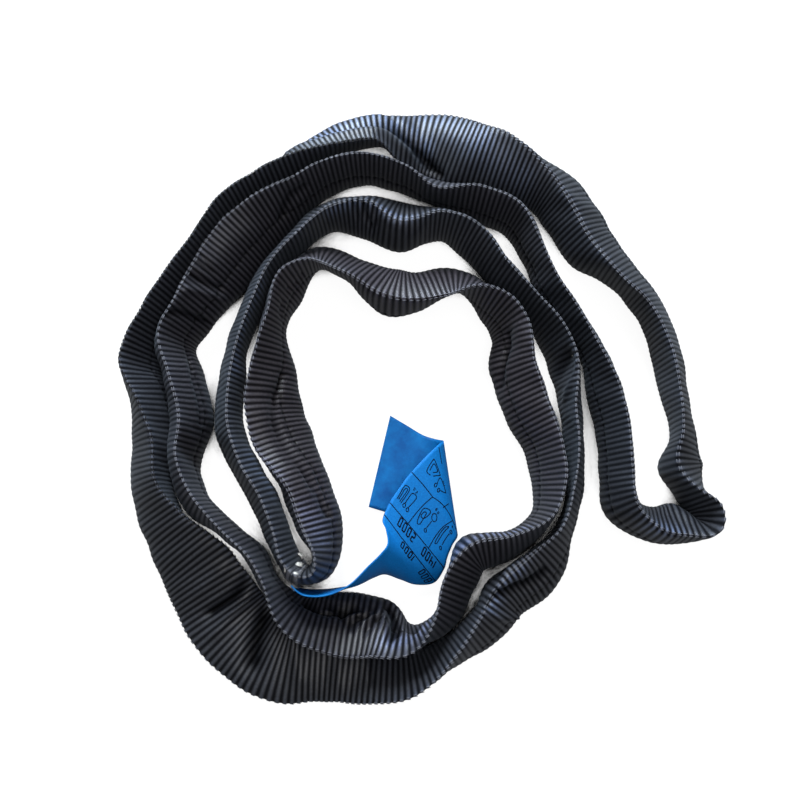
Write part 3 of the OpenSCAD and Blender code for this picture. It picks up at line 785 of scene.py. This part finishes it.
# The print: a row of the label is rowLength long, and its width counts as widthInRows rows;
# digitStep is a digit's unit in rows and shares of the width
printed = {"lineWidth": 0.55, "thickness": 0.12, "rowLength": 8.7, "labelWidth": 52, "widthInRows": 8,
           "digitStep": (-0.075, -0.014), "digitPitch": 1.9, "pointShift": 0.5, "pointWidth": 0.35,
           "digitWidth": (0.12, 0.24)}
# Where the print lies on the label: each cell by its corners (row of the label, share of its width)
cells = {
    "double": [(10.01, 0), (10, 0.31), (12.5, 0.4), (12.2, 0)],
    "choker": [(10, 0.31), (10.03, 0.68), (13.5, 0.8), (12.5, 0.4)],
    "straight": [(10.03, 0.68), (10.06, 1), (14.2, 1), (13.5, 0.8)],
    "basket": [(12.2, 0), (12.85, 0.59), (13.75, 0.62), (13.93, 0.02)],
    "label": [(0, 0), (0, 1), (19, 1), (19, 0)],
}
# Straight rules and rounded figures: cell, then the places across and along it that each runs through
rules = [
    ("label", 0, 9.33 / 19, 0.28, 9.21 / 19, 0.63, 9.14 / 19, 1, 9.13 / 19),
    ("label", 0, 10 / 19, 1, 10.05 / 19), ("double", 0, 1, 1, 1), ("choker", 0, 1, 1, 1),
    ("straight", 0, 1, 0.7, 1), ("basket", 0, 1, 0.3, 1), ("double", 1, 0, 1, 1), ("choker", 1, 0, 1, 1),
    ("basket", 1, 0, 1, 0.8),
]
figures = [
    ("double", 0.15, 0.2, 0.1, 0.53, 0.14, 0.65, 0.27, 0.68, 0.33, 0.59, 0.35, 0.2),
    ("double", 0.21, 0.22, 0.17, 0.52, 0.22, 0.6, 0.27, 0.55, 0.28, 0.2),
    ("double", 0.47, 0.27, 0.45, 0.58, 0.5, 0.67, 0.63, 0.69, 0.68, 0.59, 0.66, 0.27),
    ("choker", 0.3, 0.2, 0.21, 0.2, 0.11, 0.44, 0.1, 0.63, 0.28, 0.69, 0.36, 0.6, 0.31, 0.4, 0.18, 0.4,
     0.18, 0.54, 0.27, 0.55, 0.32, 0.27, 0.3, 0.2),
    ("choker", 0.58, 0.5, 0.58, 0.28),
    ("straight", 0.21, 0.21, 0.13, 0.22, 0.09, 0.62, 0.13, 0.7, 0.21, 0.69, 0.23, 0.27, 0.21, 0.21),
    ("straight", 0.5, 0.62, 0.49, 0.3),
    ("basket", 0.32, 0.32, 0.2, 0.3, 0.13, 0.63, 0.16, 0.69, 0.43, 0.73, 0.44, 0.66, 0.37, 0.39),
    ("basket", 0.24, 0.38, 0.2, 0.62, 0.36, 0.65, 0.31, 0.44),
    ("basket", 0.55, 0.38, 0.49, 0.61, 0.53, 0.73, 0.77, 0.8, 0.79, 0.73, 0.72, 0.48, 0.66, 0.38),
]
# Circles: cell, place across and along it, and radius
circles = [("double", 0.49, 0.23, 0.95), ("double", 0.68, 0.22, 0.95), ("choker", 0.56, 0.62, 2.2),
           ("choker", 0.59, 0.22, 1), ("straight", 0.49, 0.69, 1.2), ("straight", 0.49, 0.23, 1),
           ("basket", 0.54, 0.31, 0.9), ("basket", 0.66, 0.32, 0.9)]
digitSegments = {"0": "abcdef", "1": "bc", "2": "abged", "4": "fgbc", "8": "abcdefg"}
segmentEnds = {"a": ((0, 2), (1, 2)), "b": ((1, 2), (1, 1)), "c": ((1, 1), (1, 0)), "d": ((0, 0), (1, 0)),
               "e": ((0, 1), (0, 0)), "f": ((0, 2), (0, 1)), "g": ((0, 1), (1, 1))}
# Cell, plain number, its place across and along the cell, and its size
numbers = [("double", "2.0", 0.56, 0.8, 1), ("choker", "0.8", 0.54, 0.8, 1),
           ("straight", "1.0", 0.55, 0.82, 1), ("basket", "1.4", 0.69, 0.88, 1),
           ("label", "2000", 0.46, 9.94 / 19, 2.8), ("label", "1400", 0.89, 9.9 / 19, 2.8),
           ("label", "1000", 0.6, 9.08 / 19, 2.8), ("label", "800", 0.95, 9.02 / 19, 2.8)]


def cellPoint(cell, across, along):
    # Bilinear place in a cell between its four corners, as row and share of the label
    a, b, c, d = (np.array(corner) for corner in cells[cell])
    across, along = np.atleast_1d(across)[:, None], np.atleast_1d(along)[:, None]
    return (a * (1 - across) * (1 - along) + b * across * (1 - along)
            + c * across * along + d * (1 - across) * along)


def inkStrip(places, width):
    # Thin strip on the printed face: each place moved by half the width across the line, four corners
    middle, facing = labelSurface(places[:, 0], places[:, 1:2])
    middle = middle[:, 0]
    forward = np.gradient(middle, axis=0)
    forward /= np.linalg.norm(forward, axis=1)[:, None] + 1e-9
    up = facing * printSide()
    across = np.cross(up, forward) * width / 2
    low = middle + up * (label["thickness"] / 2 - printed["thickness"] / 2)
    high = low + up * printed["thickness"]
    ring = np.stack([low - across, low + across, high + across, high - across], 1)
    return ring.reshape(-1, 3), tubeFaces(len(places), 4, [range(4)])[:, ::-1]


def resample(places, step=0.12):
    # Points at an even step along a broken line, measured in rows of the label
    spans = np.diff(places, axis=0) * (1, printed["widthInRows"])
    d = np.concatenate([[0], np.cumsum(np.hypot(*spans.T))])
    k = np.linspace(0, d[-1], max(4, int(d[-1] / step)))
    return np.stack([np.interp(k, d, places[:, 0]), np.interp(k, d, places[:, 1])], -1)


def roundedLine(table):
    # A figure's outline, rounded by the curve through its points
    return catmullRom(table, np.linspace(0, len(table) - 1.001, 10 * len(table)), closed=False)


def numberStrips(centre, text, size):
    # A plain number: each digit's segments a pitch after the digit before, and a short dash for a point
    unit = np.array(printed["digitStep"]) * size
    thin, growth = printed["digitWidth"]
    for place, sign in enumerate(text):
        start = printed["digitPitch"] * place
        shift = (start - printed["pointShift"] * ("." in text[:place]), 0)
        for segment in digitSegments.get(sign, ""):
            ends = np.array(segmentEnds[segment], float) + shift
            yield inkStrip(resample(centre + ends[:, ::-1] * unit), thin + growth * size)
        if sign == ".":
            dot = centre + np.array([[0, start + 0.2], [0, start + 0.5]]) * unit
            yield inkStrip(resample(dot), printed["pointWidth"])


def buildPrint(material):
    # Strips for the rules, figures, rings and numbers, joined as one mesh
    width = printed["lineWidth"]
    strips = []
    for lines, along in ((rules, resample), (figures, roundedLine)):
        strips += [inkStrip(along(cellPoint(cell, line[::2], line[1::2])), width) for cell, *line in lines]
    turn = np.linspace(0, 2 * np.pi, 20)
    circle = np.stack([np.sin(turn) / printed["rowLength"], np.cos(turn) / printed["labelWidth"]], -1)
    strips += [inkStrip(cellPoint(cell, across, along)[0] + radius * circle, width)
               for cell, across, along, radius in circles]
    for cell, text, across, along, size in numbers:
        strips += numberStrips(cellPoint(cell, across, along)[0], text, size)
    return meshObject("labelPrint", *stackMeshes(strips), material)


labelPiece = buildLabel(labelCloth())
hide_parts("label_root", "label_flap")
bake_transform(labelPiece)
printPiece = buildPrint(inkLook())
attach(printPiece, "label")
print("label built")

# White floor, in metres: reach of the strands' shade, how open the floor is where the shade starts and
# ends, its grey under the lamps and its own white
stage = {"size": 6, "below": 0.0005, "reach": 0.02, "shut": 0.18, "open": 0.26, "grey": 0.17, "white": 0.94}
room = {"light": 0.2, "glossy": 0.1}   # share of white that lights the object, and that gloss shows
# Each lamp's place, target and width in metres, its power in watts and its colour
lamps = {"keyLight": ((-0.2, 0.95, 0.72), (0, 0.05, 0), 0.5, 19, (0.88, 0.95, 1)),
         "rimLight": ((-0.12, 0.62, 0.18), (-0.03, 0.2, 0.03), 0.25, 2.8, (0.72, 0.87, 1)),
         "topLight": ((0.2, -0.2, 1.5), (0, 0, 0), 0.8, 7.5, (1, 0.98, 0.98))}
view = {"target": (-0.009, -0.003, 0), "distance": 0.6, "elevation": 80, "lens": 43.65, "sensor": 36}


def seenRays(tree):
    # 1 for rays from the camera or through glass, a tenth for glossy reflections, 0 for the rest
    total = addNode(tree, "LightPath", {}, "Is Camera Ray")
    rays = total.node.outputs
    for name, share in (("Is Glossy Ray", room["glossy"]), ("Is Transmission Ray", 1)):
        total = calculate(tree, "MULTIPLY_ADD", rays[name], share, total)
    return total


def buildStage():
    # The floor's white and grey are scaled by how open it is: painted shade where strands shut it in
    bpy.ops.mesh.primitive_plane_add(size=stage["size"], location=(0, 0, -stage["below"]))
    floor = bpy.context.object
    floor.name = "floor"
    material, tree, inputs = principled("whiteFloor", (stage["grey"],) * 3, 1, specular=0)
    openness = addNode(tree, "AmbientOcclusion", {"Distance": stage["reach"]}, "AO", samples=16)
    shade = {"Value": openness, "From Min": stage["shut"], "From Max": stage["open"], "To Min": 0,
             "To Max": stage["white"]}
    fade = addNode(tree, "MapRange", shade, "Result", interpolation_type="SMOOTHSTEP")
    setSocket(tree, inputs["Base Color"], calculate(tree, "MULTIPLY", fade, stage["grey"]))
    glow = addNode(tree, "Emission", {"Strength": calculate(tree, "MULTIPLY", seenRays(tree), fade)}, 0)
    both = addNode(tree, "AddShader", {0: tree.nodes["Principled BSDF"].outputs[0], 1: glow}, 0)
    setSocket(tree, tree.nodes["Material Output"].inputs["Surface"], both)
    floor.data.materials.append(material)


def buildRoom():
    # The room is white where it is seen, and lights the object at a fifth of that
    world = bpy.data.worlds.new("softRoom")
    world.use_nodes = True
    bpy.context.scene.world = world
    tree = world.node_tree
    inputs = tree.nodes["Background"].inputs
    setSocket(tree, inputs["Color"], (1, 1, 1))
    setSocket(tree, inputs["Strength"],
              calculate(tree, "MULTIPLY_ADD", seenRays(tree), 1 - room["light"], room["light"]))


def addAimed(name, data, place, target):
    # A lamp or camera at its place, turned so that its -Z axis points at the target
    obj = bpy.data.objects.new(name, data)
    bpy.context.scene.collection.objects.link(obj)
    obj.location = place
    obj.rotation_euler = (Vector(target) - Vector(place)).to_track_quat("-Z", "Y").to_euler()
    return obj


def buildLamps():
    # Round soft lamps that the camera doesn't see
    for name, (place, target, size, power, colour) in lamps.items():
        data = bpy.data.lights.new(name, "AREA")
        data.shape, data.size, data.energy, data.color = "DISK", size, power, colour
        addAimed(name, data, place, target).visible_camera = False


def buildCamera():
    # From the target, back by the distance along the elevation: (0, -cos, sin)
    data = bpy.data.cameras.new("camera")
    data.lens, data.sensor_width = view["lens"], view["sensor"]
    tilt = np.radians(view["elevation"])
    place = Vector(view["target"]) + Vector((0, -np.cos(tilt), np.sin(tilt))) * view["distance"]
    bpy.context.scene.camera = addAimed("camera", data, place, view["target"])


buildStage()
buildRoom()
buildLamps()
buildCamera()
bpy.context.scene.view_settings.view_transform = "Standard"
print("floor, lamps and camera placed")

for name, material in (("yarn_end_tape", threadLook("coreTape", (0.6, 0.52, 0.3), 0.2)),
                       ("label_stitching", threadLook("labelThread", (0.03, 0.3, 0.7), 0.2))):
    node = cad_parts[name]
    node.data.materials.clear()
    node.data.materials.append(material)
